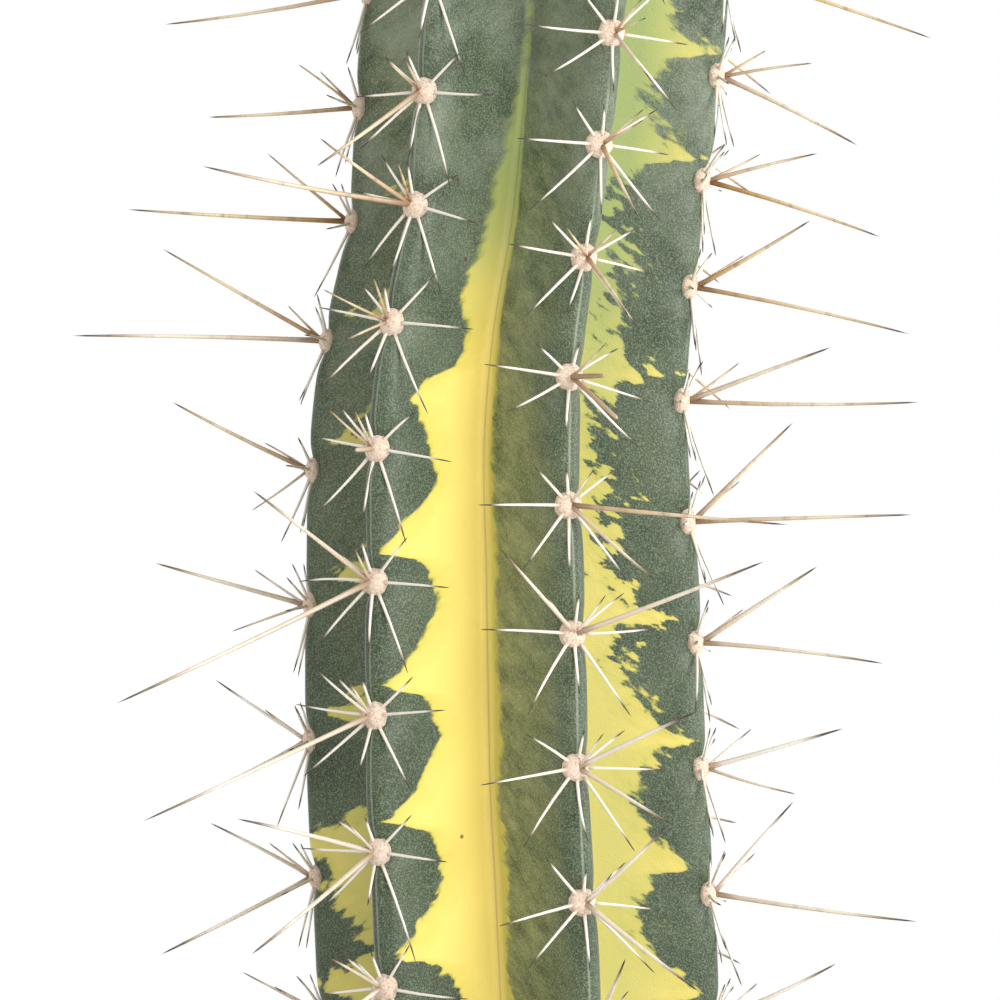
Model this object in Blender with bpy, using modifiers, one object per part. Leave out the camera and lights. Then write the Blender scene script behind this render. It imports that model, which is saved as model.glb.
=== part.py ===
"""A tall six-ribbed cactus, variegated green and yellow, in a plain clay pot.

The stem stands in a tapered pot of potting soil. Each rib's crest carries a row of round woolly
areoles, and each areole carries a star of short spines and a few long ones. +Z is up, the origin
is the centre of the pot's foot, and the front is -Y.
"""

import math

import bmesh
import bpy
import numpy as np
from mathutils import Vector

# ------------------------------------------------------------------ driving dimensions, in metres
GAP = 0.0003

POT_HEIGHT = 0.205
POT_RIM_RADIUS = 0.122
POT_COLLAR_HEIGHT = 0.038
POT_COLLAR_STEP = 0.008
POT_FOOT_RADIUS = 0.082
POT_WALL = 0.009
POT_FLOOR = 0.013
POT_CHAMFER = 0.003
DRAIN_RADIUS = 0.011
POT_STEPS = 56

SOIL_LEVEL = 0.182
SOIL_MOUND = 0.004
SOIL_STEPS = 48

RIBS = 6
FIRST_RIB_DEGREES = 21.0
TWIST_DEGREES_PER_METRE = 9.0
TWIST_CENTRE = 0.268
STEM_HEIGHT = 0.563
CREST_ROUNDING = 0.075
CREST_SHARPNESS = 12

# Height above the soil, then the value there. Each is joined up by a smooth curve.
CREST_RADIUS = (
    (-0.045, 0.030), (-0.015, 0.039), (0.000, 0.0430), (0.030, 0.0468), (0.080, 0.0490),
    (0.148, 0.0493), (0.209, 0.0490), (0.250, 0.0480), (0.285, 0.0461), (0.312, 0.0447),
    (0.338, 0.0433), (0.362, 0.0444), (0.388, 0.0446), (0.440, 0.0435), (0.490, 0.0405),
    (0.525, 0.0335), (0.548, 0.0225), (0.560, 0.0110), (0.563, 0.0060),
)
VALLEY_SHARE = (
    (-0.045, 0.95), (-0.020, 0.92), (0.000, 0.82), (0.040, 0.66), (0.090, 0.52), (0.148, 0.46),
    (0.268, 0.44), (0.388, 0.46), (0.480, 0.50), (0.530, 0.60), (0.563, 0.80),
)
LEAN = (
    (-0.045, 0.0000), (0.000, 0.0000), (0.080, 0.0018), (0.148, 0.0012), (0.200, -0.0016),
    (0.250, -0.0028), (0.282, -0.0035), (0.305, -0.0019), (0.335, 0.0028), (0.355, 0.0050),
    (0.388, 0.0078), (0.450, 0.0105), (0.563, 0.0115),
)
STEM_SECTIONS = (
    -0.045, -0.030, -0.015, 0.000, 0.015, 0.030, 0.050, 0.070, 0.090, 0.115, 0.140, 0.165, 0.190,
    0.215, 0.240, 0.262, 0.280, 0.298, 0.312, 0.326, 0.338, 0.350, 0.364, 0.380, 0.400, 0.425,
    0.445, 0.465, 0.480, 0.495, 0.508, 0.520, 0.530, 0.539, 0.547, 0.554, 0.560, 0.563,
)
FLANK_STEPS = (0.0, 0.40, 0.75, 0.93, 0.985, 1.0)

# Each rib has one areole at its middle height, and the rest are stepped off from it both ways.
AREOLE_MIDDLE = (0.2668, 0.2627, 0.2550, 0.2400, 0.2421, 0.2487)
AREOLE_SPACING = ((0.000, 0.0340), (0.150, 0.0318), (0.240, 0.0318), (0.280, 0.0300), (0.320, 0.0272),
                  (0.400, 0.0272), (0.563, 0.0235))
SPACING_SHARE = (0.98, 0.95, 0.98, 1.00, 1.05, 1.00)
AREOLE_LOWEST = 0.024
AREOLE_HIGHEST = 0.534
CENTRALS_LOST_BELOW = 0.045
AREOLE_HALF_LENGTH = 0.0029
AREOLE_HALF_WIDTH = 0.0027
AREOLE_HEIGHT = 0.0024
CREST_LINE_HALF_WIDTH = 0.0006
CREST_LINE_HEIGHT = 0.0005
PAD_OUTLINE = ((-1.0, 0.0), (-0.8, 0.72), (0.0, 1.0), (0.8, 0.72), (1.0, 0.0))
RING_POINTS = len(PAD_OUTLINE)
RINGS_TO_NEXT = 5

# Each spine: the pad face it grows from (band up the areole, column across it), its clock angle
# seen from outside with 0 up, its lift off the skin in degrees, and its length in millimetres.
LOWER, MIDDLE, UPPER = 0, 1, 2
LEFT, TOP_LEFT, TOP_RIGHT, RIGHT = 1, 2, 3, 4
RADIAL_SPINES = (
    (UPPER, TOP_LEFT, -6, 24, 10),
    (UPPER, LEFT, -50, 13, 14),
    (UPPER, RIGHT, 48, 13, 14),
    (MIDDLE, LEFT, -92, 10, 20),
    (MIDDLE, RIGHT, 94, 10, 18),
    (LOWER, LEFT, -145, 10, 19),
    (LOWER, RIGHT, 147, 10, 23),
    (LOWER, TOP_LEFT, -177, 11, 16),
)
CENTRAL_SPINES = (
    (MIDDLE, TOP_RIGHT, 172, 74, 50),
    (MIDDLE, TOP_LEFT, -8, 58, 33),
    (UPPER, TOP_RIGHT, 22, 50, 14),
)
CLOCK_SPREAD = 9.0
LIFT_SPREAD = 5.0
LENGTH_SPREAD = 0.14

# Central spines that have bent or broken away from that habit, as clock, lift and length, for one
# areole: (rib, number up from the rib's middle areole).
SET_CENTRALS = {
    (0, -3): ((144, 49, 38), (39, 46, 31)),
    (0, -2): ((133, 47, 30), (53, 50, 34)),
    (0, -1): ((66, 44, 51), (-49, 20, 30)),
    (0, 0): ((103, 45, 51), (149, 39, 30)),
    (0, 1): ((159, 61, 22), (-140, 87, 20)),
    (0, 2): ((167, 59, 30), (-66, 45, 16)),
    (0, 3): ((176, 55, 28), (39, 53, 14)),
    (0, 4): ((168, 58, 24), (47, 66, 12)),
    (1, -4): ((-160, 78, 46), (-15, 68, 32)),
    (1, -3): ((-145, 76, 50), (-11, 43, 32)),
    (1, -2): ((-145, 65, 23), (-29, 75, 35)),
    (1, -1): ((-125, 81, 45), (-9, 59, 36)),
    (1, 0): ((-107, 79, 54), (-14, 50, 35)),
    (1, 1): ((-111, 82, 57), (-29, 67, 37)),
    (1, 2): ((-116, 79, 54), (-24, 56, 34)),
    (1, 3): ((-135, 80, 47), (-30, 64, 29)),
    (1, 4): ((-164, 70, 36), (-46, 70, 24)),
    (4, -3): ((150, 60, 40), (30, 55, 22)),
    (4, -2): ((128, 53, 43), (16, 55, 29)),
    (4, -1): ((130, 47, 26), (25, 53, 27)),
    (4, 0): ((165, 70, 20), (42, 70, 40)),
    (4, 1): ((146, 41, 18), (45, 60, 38)),
    (4, 2): ((107, 64, 63), (46, 62, 44)),
    (4, 3): ((106, 66, 54), (42, 49, 26)),
    (4, 4): ((118, 67, 39), (30, 50, 18)),
    (5, -3): ((175, 70, 30), (22, 63, 25)),
    (5, -2): ((-161, 57, 43), (-45, 63, 37)),
    (5, -1): ((-137, 60, 59), (-3, 61, 24)),
    (5, 0): ((-138, 55, 69), (-21, 55, 40)),
    (5, 1): ((170, 80, 7), (-25, 58, 18)),
    (5, 2): ((164, 66, 20), (-60, 71, 19)),
    (5, 3): ((-94, 65, 54), (-40, 62, 31)),
    (5, 4): ((-165, 51, 34), (-20, 60, 12)),
}

CROWN_RADIUS = 0.0065
CROWN_HEIGHT = 0.0050
CROWN_SPINE = 0.015
CROWN_SPINE_RISE = 1.35
CROWN_SIDES_UP_TO = 0.6

COLOURS = {
    # name: (linear red, green, blue), roughness
    "clay": ((0.46, 0.17, 0.075), 0.85),
    "soil": ((0.035, 0.022, 0.014), 0.95),
    "skin": ((0.095, 0.155, 0.075), 0.55),
    "spine": ((0.62, 0.48, 0.33), 0.45),
    "wool": ((0.70, 0.55, 0.40), 0.95),
}


# ------------------------------------------------------------------------------------ the helpers
def clear_scene():
    for obj in list(bpy.data.objects):
        bpy.data.objects.remove(obj)


def new_collection(name, shown=True):
    made = bpy.data.collections.new(name)
    bpy.context.scene.collection.children.link(made)
    made.hide_render = not shown
    return made


def material(name):
    colour, roughness = COLOURS[name]
    made = bpy.data.materials.new(name)
    made.use_nodes = True
    shader = made.node_tree.nodes["Principled BSDF"]
    shader.inputs["Base Color"].default_value = (*colour, 1.0)
    shader.inputs["Roughness"].default_value = roughness
    shader.inputs["Metallic"].default_value = 0.0
    return made


def new_object(name, mesh, collection, finish=None):
    obj = bpy.data.objects.new(name, mesh)
    collection.objects.link(obj)
    if finish:
        mesh.materials.append(finish)
    return obj


def curve_value(points, at):
    """A smooth curve through the points: cubic pieces whose slopes come from the neighbours."""
    heights, values = np.array(points).T
    slopes = np.gradient(values, heights)
    i = int(np.clip(np.searchsorted(heights, at) - 1, 0, len(heights) - 2))
    span = heights[i + 1] - heights[i]
    t = min(max((at - heights[i]) / span, 0.0), 1.0)
    start, end = (2 * t**3 - 3 * t**2 + 1) * values[i], (3 * t**2 - 2 * t**3) * values[i + 1]
    leave, arrive = (t**3 - 2 * t**2 + t) * slopes[i], (t**3 - t**2) * slopes[i + 1]
    return start + end + span * (leave + arrive)


def turned(name, profile, steps, collection, finish, closed):
    """A profile of (radius, height) points, turned about Z."""
    mesh = bpy.data.meshes.new(name)
    edges = [(i, i + 1) for i in range(len(profile) - 1)]
    if closed:
        edges.append((len(profile) - 1, 0))
    mesh.from_pydata([(radius, 0.0, height) for radius, height in profile], edges, [])
    obj = new_object(name, mesh, collection, finish)
    screw = obj.modifiers.new("Turn", "SCREW")
    screw.steps = steps
    screw.render_steps = steps
    screw.use_merge_vertices = True
    screw.merge_threshold = 0.00005
    screw.use_smooth_shade = False
    return obj


# --------------------------------------------------------------------------------------- the stem
def rib_angle(rib, height):
    """Where a rib's crest points: 0 is the front, and it grows towards +X."""
    twist = TWIST_DEGREES_PER_METRE * (height - TWIST_CENTRE)
    return math.radians(FIRST_RIB_DEGREES + rib * 360.0 / RIBS + twist)


def outwards(angle):
    return Vector((math.sin(angle), -math.cos(angle), 0.0))


def stem_centre(height):
    return Vector((curve_value(LEAN, height), 0.0, SOIL_LEVEL + height))


def stem_section(height, grow=0.0):
    """One level outline: each flank thins from its valley to a rounded crest."""
    crest = curve_value(CREST_RADIUS, height)
    valley = crest * curve_value(VALLEY_SHARE, height)
    half_rib = math.pi / RIBS
    valley_out, valley_side = valley * math.cos(half_rib), valley * math.sin(half_rib)
    outline = []
    for rib in range(RIBS):
        angle = rib_angle(rib, height)
        side = Vector((math.cos(angle), math.sin(angle)))
        out = Vector((math.sin(angle), -math.cos(angle)))
        flank = [(-1, step) for step in FLANK_STEPS] + [(1, step) for step in FLANK_STEPS[-2:0:-1]]
        for hand, step in flank:
            thickness = valley_side * (1 - step) + CREST_ROUNDING * crest * step
            thickness *= math.sqrt(1 - step**CREST_SHARPNESS)
            reach = valley_out + (crest - valley_out) * step
            outline.append(out * reach + side * hand * thickness)
    outline = np.array([tuple(point) for point in outline])
    along = np.roll(outline, -1, axis=0) - np.roll(outline, 1, axis=0)
    normal = np.stack([along[:, 1], -along[:, 0]], axis=1)
    normal /= np.linalg.norm(normal, axis=1, keepdims=True)
    outline += grow * normal
    centre = stem_centre(height)
    return [centre + Vector((x, y, 0.0)) for x, y in outline]


def loft(name, sections, collection, finish=None):
    """Closed sections with the same number of points, joined one to the next and capped."""
    shape = bmesh.new()
    rings = [[shape.verts.new(point) for point in section] for section in sections]
    for low, high in zip(rings, rings[1:]):
        for i in range(len(low)):
            j = (i + 1) % len(low)
            shape.faces.new((low[i], low[j], high[j], high[i]))
    shape.faces.new(list(reversed(rings[0])))
    shape.faces.new(rings[-1])
    bmesh.ops.triangulate(shape, faces=[f for f in shape.faces if len(f.verts) > 4])
    mesh = bpy.data.meshes.new(name)
    shape.to_mesh(mesh)
    shape.free()
    return new_object(name, mesh, collection, finish)


def make_stem(collection, finish):
    obj = loft("stem", [stem_section(h) for h in STEM_SECTIONS], collection, finish)
    obj.data.shade_smooth()
    obj.data.set_sharp_from_angle(angle=math.radians(40))
    return obj


# ------------------------------------------------------------------------- the areoles and spines
def crest_frame(rib, height):
    """A point just off the crest, and the directions along it, out of it and across it."""
    def crest(h):
        radius = curve_value(CREST_RADIUS, h) + GAP
        return stem_centre(h) + outwards(rib_angle(rib, h)) * radius

    step = 0.002
    up = (crest(height + step) - crest(height - step)).normalized()
    out = outwards(rib_angle(rib, height))
    out = (out - up * out.dot(up)).normalized()
    return crest(height), up, out, up.cross(out).normalized()


def areole_heights(rib):
    """Each areole's number and height up one rib, a little closer together towards the tip."""
    middle = AREOLE_MIDDLE[rib]
    heights = {0: middle}
    for way, last in ((-1, AREOLE_LOWEST), (1, AREOLE_HIGHEST)):
        number, height = way, middle
        while True:
            height += way * SPACING_SHARE[rib] * curve_value(AREOLE_SPACING, height)
            if way * (height - last) > 0:
                break
            heights[number] = height
            number += way
    return sorted(heights.items())


def spine_direction(up, out, across, clock, lift):
    clock, lift = math.radians(clock), math.radians(lift)
    flat = up * math.cos(clock) + across * math.sin(clock)
    return flat * math.cos(lift) + out * math.sin(lift)


def spines_of(rib, number, height, chance):
    """The spines of one areole, each spread a little about its habit, in metres.

    The oldest areoles, close to the soil, have lost their central spines.
    """
    fixed = SET_CENTRALS.get((rib, number), ())
    for index, (band, column, clock, lift, reach) in enumerate(CENTRAL_SPINES + RADIAL_SPINES):
        clock += chance.uniform(-1, 1) * CLOCK_SPREAD
        lift += chance.uniform(-1, 1) * LIFT_SPREAD
        reach *= 1 + chance.uniform(-1, 1) * LENGTH_SPREAD
        if index < len(fixed):
            clock, lift, reach = fixed[index]
        if index < len(CENTRAL_SPINES) and height < CENTRALS_LOST_BELOW:
            continue
        yield band, column, clock, lift, reach * 0.001


def crest_rings(areoles):
    """Height, half width and thickness of each ring: four round a pad, one half way to the next."""
    shoulder = 0.45 * AREOLE_HALF_LENGTH
    heights = [height for _, height in areoles]
    for height, above in zip(heights, heights[1:] + [None]):
        yield height - AREOLE_HALF_LENGTH, CREST_LINE_HALF_WIDTH, CREST_LINE_HEIGHT
        yield height - shoulder, AREOLE_HALF_WIDTH, AREOLE_HEIGHT
        yield height + shoulder, AREOLE_HALF_WIDTH, AREOLE_HEIGHT
        yield height + AREOLE_HALF_LENGTH, CREST_LINE_HALF_WIDTH, CREST_LINE_HEIGHT
        if above:
            yield (height + above) / 2, CREST_LINE_HALF_WIDTH, CREST_LINE_HEIGHT


def crest_ring(rib, height, half_width, thickness):
    """Five points round the crest line or the pad: a flat underside and a domed top."""
    foot, _, out, across = crest_frame(rib, height)
    return [foot + across * x * half_width + out * y * thickness for x, y in PAD_OUTLINE]


def make_rib_spines(rib, collection, finish):
    """The rib's crest line with its areoles, each a pad whose faces are drawn out into spines."""
    chance = np.random.RandomState(100 + rib)
    areoles = areole_heights(rib)
    shape = bmesh.new()
    rings = []
    for height, half_width, thickness in crest_rings(areoles):
        points = crest_ring(rib, height, half_width, thickness)
        rings.append([shape.verts.new(point) for point in points])
    faces = {}
    for ring, (low, high) in enumerate(zip(rings, rings[1:])):
        for column in range(RING_POINTS):
            right = (column + 1) % RING_POINTS
            corners = (low[right], low[column], high[column], high[right])
            faces[ring, column] = shape.faces.new(corners)
    shape.faces.new(rings[0])
    shape.faces.new(list(reversed(rings[-1])))
    for row, (number, height) in enumerate(areoles):
        foot, up, out, across = crest_frame(rib, height)
        root = foot + out * 0.5 * AREOLE_HEIGHT
        for band, column, clock, lift, reach in spines_of(rib, number, height, chance):
            face = faces[RINGS_TO_NEXT * row + band, column - 1]
            tip = bmesh.ops.poke(shape, faces=[face])["verts"][0]
            tip.co = root + spine_direction(up, out, across, clock, lift) * reach
    bmesh.ops.triangulate(shape, faces=shape.faces)
    bmesh.ops.recalc_face_normals(shape, faces=shape.faces)
    mesh = bpy.data.meshes.new(f"rib_{rib + 1}_spines")
    shape.to_mesh(mesh)
    shape.free()
    return new_object(mesh.name, mesh, collection, finish)


def make_crown(collection, finish):
    """The woolly growing tip, with its young spines standing up round it."""
    shape = bmesh.new()
    bmesh.ops.create_uvsphere(shape, u_segments=9, v_segments=6, radius=1.0)
    below = [vertex for vertex in shape.verts if vertex.co.z < -0.01]
    bmesh.ops.delete(shape, geom=below, context="VERTS")
    rim = [edge for edge in shape.edges if edge.is_boundary]
    bmesh.ops.contextual_create(shape, geom=rim)
    foot = stem_centre(STEM_HEIGHT) + Vector((0, 0, GAP))
    for vertex in shape.verts:
        x, y, z = vertex.co
        vertex.co = foot + Vector((x * CROWN_RADIUS, y * CROWN_RADIUS, z * CROWN_HEIGHT))
    top_of_sides = foot.z + CROWN_SIDES_UP_TO * CROWN_HEIGHT
    quads = [face for face in shape.faces if len(face.verts) == 4]
    for face in [quad for quad in quads if quad.calc_center_median().z < top_of_sides]:
        out = face.calc_center_median() - foot
        out.z = 0.0
        direction = (out.normalized() + Vector((0, 0, CROWN_SPINE_RISE))).normalized()
        tip = bmesh.ops.poke(shape, faces=[face])["verts"][0]
        tip.co = tip.co + direction * CROWN_SPINE
    bmesh.ops.recalc_face_normals(shape, faces=shape.faces)
    mesh = bpy.data.meshes.new("crown")
    shape.to_mesh(mesh)
    shape.free()
    return new_object("crown", mesh, collection, finish)


# ---------------------------------------------------------------------------- the pot and the soil
def inner_radius(height):
    """The pot's inner wall leans out from the floor to the top of the rim."""
    low, high = POT_FOOT_RADIUS - POT_WALL, POT_RIM_RADIUS - POT_WALL
    return low + (high - low) * (height - POT_FLOOR) / (POT_HEIGHT - POT_FLOOR)


def make_pot(collection, finish):
    collar_foot = POT_HEIGHT - POT_COLLAR_HEIGHT
    body_top = POT_RIM_RADIUS - POT_COLLAR_STEP
    chamfer = POT_CHAMFER
    profile = (
        (inner_radius(POT_HEIGHT) + chamfer, POT_HEIGHT),
        (POT_RIM_RADIUS - chamfer, POT_HEIGHT),
        (POT_RIM_RADIUS, POT_HEIGHT - chamfer),
        (POT_RIM_RADIUS - 0.002, collar_foot + chamfer),
        (POT_RIM_RADIUS - 0.004, collar_foot),
        (body_top, collar_foot - 0.002),
        (POT_FOOT_RADIUS, chamfer),
        (POT_FOOT_RADIUS - chamfer, 0.0),
        (DRAIN_RADIUS + 0.001, 0.0),
        (DRAIN_RADIUS, 0.001),
        (DRAIN_RADIUS, POT_FLOOR - 0.001),
        (DRAIN_RADIUS + 0.001, POT_FLOOR),
        (inner_radius(POT_FLOOR) - chamfer, POT_FLOOR),
        (inner_radius(POT_FLOOR + chamfer), POT_FLOOR + chamfer),
        (inner_radius(POT_HEIGHT - chamfer), POT_HEIGHT - chamfer),
    )
    return turned("pot", profile, POT_STEPS, collection, finish, closed=True)


def make_soil(collection, helpers, finish):
    """Potting soil that fills the pot, with a socket for the stem's buried foot."""
    floor = POT_FLOOR + GAP
    clearance = 3 * GAP
    profile = (
        (0.0, SOIL_LEVEL + SOIL_MOUND),
        (0.045, SOIL_LEVEL + SOIL_MOUND),
        (0.075, SOIL_LEVEL + 0.4 * SOIL_MOUND),
        (inner_radius(SOIL_LEVEL) - clearance, SOIL_LEVEL - 0.002),
        (inner_radius(floor + POT_CHAMFER) - clearance, floor + POT_CHAMFER),
        (inner_radius(floor) - POT_CHAMFER - clearance, floor),
        (0.0, floor),
    )
    soil = turned("soil", profile, SOIL_STEPS, collection, finish, closed=False)
    sections = [stem_section(h, grow=2 * GAP) for h in STEM_SECTIONS if h < 0.05]
    sections.insert(0, [point - Vector((0, 0, GAP)) for point in sections[0]])
    cutter = loft("stem_socket_cutter", sections, helpers)
    cutter.hide_render = True
    cutter.display_type = "WIRE"
    cut = soil.modifiers.new("Socket", "BOOLEAN")
    cut.operation = "DIFFERENCE"
    cut.object = cutter
    cut.solver = "EXACT"
    return soil


def main():
    clear_scene()
    plant = new_collection("potted_cactus")
    helpers = new_collection("cutters", shown=False)
    finishes = {name: material(name) for name in COLOURS}
    make_pot(plant, finishes["clay"])
    make_soil(plant, helpers, finishes["soil"])
    make_stem(plant, finishes["skin"])
    for rib in range(RIBS):
        make_rib_spines(rib, plant, finishes["spine"])
    make_crown(plant, finishes["wool"])


main()
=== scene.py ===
# %% [markdown]
# # A potted columnar cactus, variegated green and yellow
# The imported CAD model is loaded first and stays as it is: it gives the size, the collision and
# the mass. Everything after this cell dresses it. Each step says what the piece is on the real
# plant, how it could be made, and why this way was chosen.

# %% Load the frame
import math

import bpy
import numpy as np
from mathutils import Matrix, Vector


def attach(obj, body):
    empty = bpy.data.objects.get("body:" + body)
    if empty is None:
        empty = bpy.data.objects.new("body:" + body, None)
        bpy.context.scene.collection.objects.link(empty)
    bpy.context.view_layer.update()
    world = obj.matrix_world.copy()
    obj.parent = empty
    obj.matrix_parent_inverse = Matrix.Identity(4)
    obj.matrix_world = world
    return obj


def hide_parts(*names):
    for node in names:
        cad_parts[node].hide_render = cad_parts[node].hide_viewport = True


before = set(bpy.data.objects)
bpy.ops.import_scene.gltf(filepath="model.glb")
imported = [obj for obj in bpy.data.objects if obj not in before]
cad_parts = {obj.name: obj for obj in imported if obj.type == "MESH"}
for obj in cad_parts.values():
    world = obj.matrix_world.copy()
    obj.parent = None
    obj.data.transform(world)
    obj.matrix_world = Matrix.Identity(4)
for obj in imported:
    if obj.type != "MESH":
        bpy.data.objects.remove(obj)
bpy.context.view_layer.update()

# %% [markdown]
# ## Camera, background and light
# The plant is seen level, close up, at the middle of its stem, through a long lens that keeps its
# ribs almost parallel. The background is white paper: the world is white where the camera sees it
# and dimmer as a light, which leaves the valleys between the ribs some shade.

# %% The camera
def placed(name, data):
    """A new object in the scene."""
    thing = bpy.data.objects.new(name, data)
    bpy.context.scene.collection.objects.link(thing)
    return thing


SOIL_LEVEL = 0.182
VIEW_HEIGHT = SOIL_LEVEL + 0.268
LENS_MM = 150.0
VIEW_DISTANCE = 1.02
VIEW_LEFT = -0.0029

camera_data = bpy.data.cameras.new("camera")
camera_data.lens = LENS_MM
camera_data.clip_start = 0.01
camera = placed("camera", camera_data)
camera.location = (VIEW_LEFT, -VIEW_DISTANCE, VIEW_HEIGHT)
camera.rotation_euler = (math.radians(90), 0, 0)
bpy.context.scene.camera = camera
bpy.context.scene.view_settings.view_transform = "Standard"
print("camera height", VIEW_HEIGHT, "m")

# %% [markdown]
# ## Colours and nodes
# Every finish is worked out from nodes, so the few kinds of node that come up again and again get
# a short name each. Sizes in a pattern are real millimetres.

# %% Helpers for the finishes
MM = 0.001


def linear(hex_colour):
    """An sRGB hex colour such as "fce470" as linear red, green, blue and an alpha of 1."""
    srgb = np.array([int(hex_colour[i:i + 2], 16) for i in (0, 2, 4)]) / 255
    rgb = np.where(srgb <= 0.04045, srgb / 12.92, ((srgb + 0.055) / 1.055) ** 2.4)
    return (*rgb.tolist(), 1.0)


def node(tree, kind, inputs=None, stops=None, **settings):
    """Add one node: settings are its own properties, inputs are socket values or links, and stops
    are a colour ramp's places and colours."""
    made = tree.nodes.new(kind)
    for name, value in settings.items():
        setattr(made, name, value)
    for socket, value in (inputs or {}).items():
        if isinstance(value, bpy.types.NodeSocket):
            tree.links.new(value, made.inputs[socket])
        else:
            made.inputs[socket].default_value = value
    if stops:
        elements = made.color_ramp.elements
        while len(elements) < len(stops):
            elements.new(1.0)
        for element, (place, colour) in zip(elements, stops):
            element.position = place
            element.color = linear(colour)
    return made


def new_finish(name, **settings):
    """A material and its tree. Settings are values of the shader's own sockets, with underscores
    for spaces."""
    finish = bpy.data.materials.new(name)
    finish.use_nodes = True
    for socket, value in settings.items():
        shader_socket(finish.node_tree, socket.replace("_", " ")).default_value = value
    return finish, finish.node_tree


def shader_socket(tree, name):
    """A socket of the tree's shader."""
    return tree.nodes["Principled BSDF"].inputs[name]


def show(tree, colour, normal=None):
    """Link the finish's colour, and the normal of its relief if it has one."""
    tree.links.new(colour, shader_socket(tree, "Base Color"))
    if normal:
        tree.links.new(normal, shader_socket(tree, "Normal"))


def object_place(tree):
    """Coordinates on the object, in metres."""
    return node(tree, "ShaderNodeTexCoord").outputs["Object"]


def carried(tree, name):
    """A number that the mesh carries at each point."""
    return node(tree, "ShaderNodeAttribute", attribute_name=name).outputs["Fac"]


def noise(tree, where, size, detail, roughness=0.5):
    """Noise from 0 to 1 whose features are about size long, in the units of where."""
    return node(tree, "ShaderNodeTexNoise", {
        "Vector": where, "Scale": 1 / size, "Detail": detail, "Roughness": roughness}).outputs["Fac"]


def sums(tree, operation, *values):
    """One sum: add, subtract, multiply or such."""
    return node(tree, "ShaderNodeMath", dict(enumerate(values)), operation=operation).outputs[0]


def remap(tree, value, start, stop, low=0.0, high=1.0, kind="LINEAR"):
    """Low where value is start or less, high where it is stop or more."""
    return node(tree, "ShaderNodeMapRange", {
        "Value": value, "From Min": start, "From Max": stop, "To Min": low, "To Max": high},
        interpolation_type=kind).outputs["Result"]


def ramp(tree, value, *stops):
    """A colour for each value, through (place, hex colour) stops."""
    return node(tree, "ShaderNodeValToRGB", {"Fac": value}, stops).outputs["Color"]


def mix(tree, share, under, over, kind="MIX"):
    """A share of one colour over another. Over is a hex colour or a link."""
    over = linear(over) if isinstance(over, str) else over
    return node(tree, "ShaderNodeMix", {0: share, 6: under, 7: over}, data_type="RGBA",
                blend_type=kind).outputs[2]


def stretched(tree, where, scale):
    """Coordinates multiplied along each axis."""
    return node(tree, "ShaderNodeMapping", {"Vector": where, "Scale": scale}).outputs[0]


def bump(tree, height, strength, distance, **under):
    """The normal of a fine relief, over another such normal if one is given."""
    return node(tree, "ShaderNodeBump", {
        "Height": height, "Strength": strength, "Distance": distance, **under}).outputs["Normal"]


# %% White world and soft lights
WORLD_LIGHT = 0.55

world = bpy.data.worlds.new("white_paper_world")
world.use_nodes = True
bpy.context.scene.world = world
sky = world.node_tree
sky.nodes.clear()
ray = node(sky, "ShaderNodeLightPath")
strength = node(sky, "ShaderNodeMapRange", {
    "Value": ray.outputs["Is Camera Ray"], "To Min": WORLD_LIGHT, "To Max": 1.0})
white = node(sky, "ShaderNodeBackground", {
    "Color": (1.0, 1.0, 1.0, 1.0), "Strength": strength.outputs["Result"]})
node(sky, "ShaderNodeOutputWorld", {"Surface": white.outputs["Background"]})

# name: azimuth from the front towards +X, elevation, distance, width, watts
LIGHTS = {
    "key_front_right": (42, 18, 1.7, 1.1, 26),
    "side_right": (100, 10, 1.8, 0.9, 13),
    "fill_front_left": (-55, 25, 2.2, 1.2, 9),
    "back_left": (-150, 25, 2.2, 1.2, 8),
    "back_right": (155, 25, 2.2, 1.2, 8),
}
for name, (azimuth, elevation, distance, width, watts) in LIGHTS.items():
    lamp_data = bpy.data.lights.new(name, "AREA")
    lamp_data.shape = "DISK"
    lamp_data.size = width
    lamp_data.energy = watts
    lamp = placed(name, lamp_data)
    turn, rise = math.radians(azimuth), math.radians(elevation)
    towards = Vector((math.sin(turn) * math.cos(rise), -math.cos(turn) * math.cos(rise), math.sin(rise)))
    lamp.location = Vector((0, 0, VIEW_HEIGHT)) + towards * distance
    lamp.rotation_euler = towards.to_track_quat("Z", "Y").to_euler()
print(len(LIGHTS), "soft lights")

# %% [markdown]
# ## How the pieces are made
# Every piece here is a stack of rings: the stem is a ribbed outline carried up a leaning line, a
# spine is a small ring carried along its axis, and a felt pad, a grain and the pot are rings too.
# They could be modelled by hand or sculpted, but a formula keeps them inside the CAD's size and
# lets hundreds of spines be worked out at once as whole arrays.


# %% Rings to faces
def closed_rings(rings, starts, ends):
    """Vertices and faces of many closed shapes at once. Each shape is a stack of rings, in an array
    (shape, ring, column, xyz), and a start and an end point close its two poles. Columns run
    anticlockwise as seen from the end, so that the faces point outwards."""
    count, rows, columns, _ = rings.shape
    points = np.concatenate([starts[:, None], rings.reshape(count, -1, 3), ends[:, None]], axis=1)
    ring, column = np.meshgrid(np.arange(rows - 1), np.arange(columns), indexing="ij")
    a = 1 + ring * columns + column
    b = 1 + ring * columns + (column + 1) % columns
    quads = np.stack([a, b, b + columns, a + columns], axis=-1).reshape(-1, 4)
    here, following = np.arange(columns), (np.arange(columns) + 1) % columns
    last = 1 + (rows - 1) * columns
    start_fan = np.stack([0 * here, 1 + following, 1 + here], axis=-1)
    end_fan = np.stack([last + here, last + following, 0 * here + 1 + rows * columns], axis=-1)
    shift = np.arange(count)[:, None, None] * points.shape[1]
    faces = []
    for kind in (quads, start_fan, end_fan):
        faces += (kind[None] + shift).reshape(-1, kind.shape[1]).tolist()
    return points.reshape(-1, 3), faces


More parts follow.
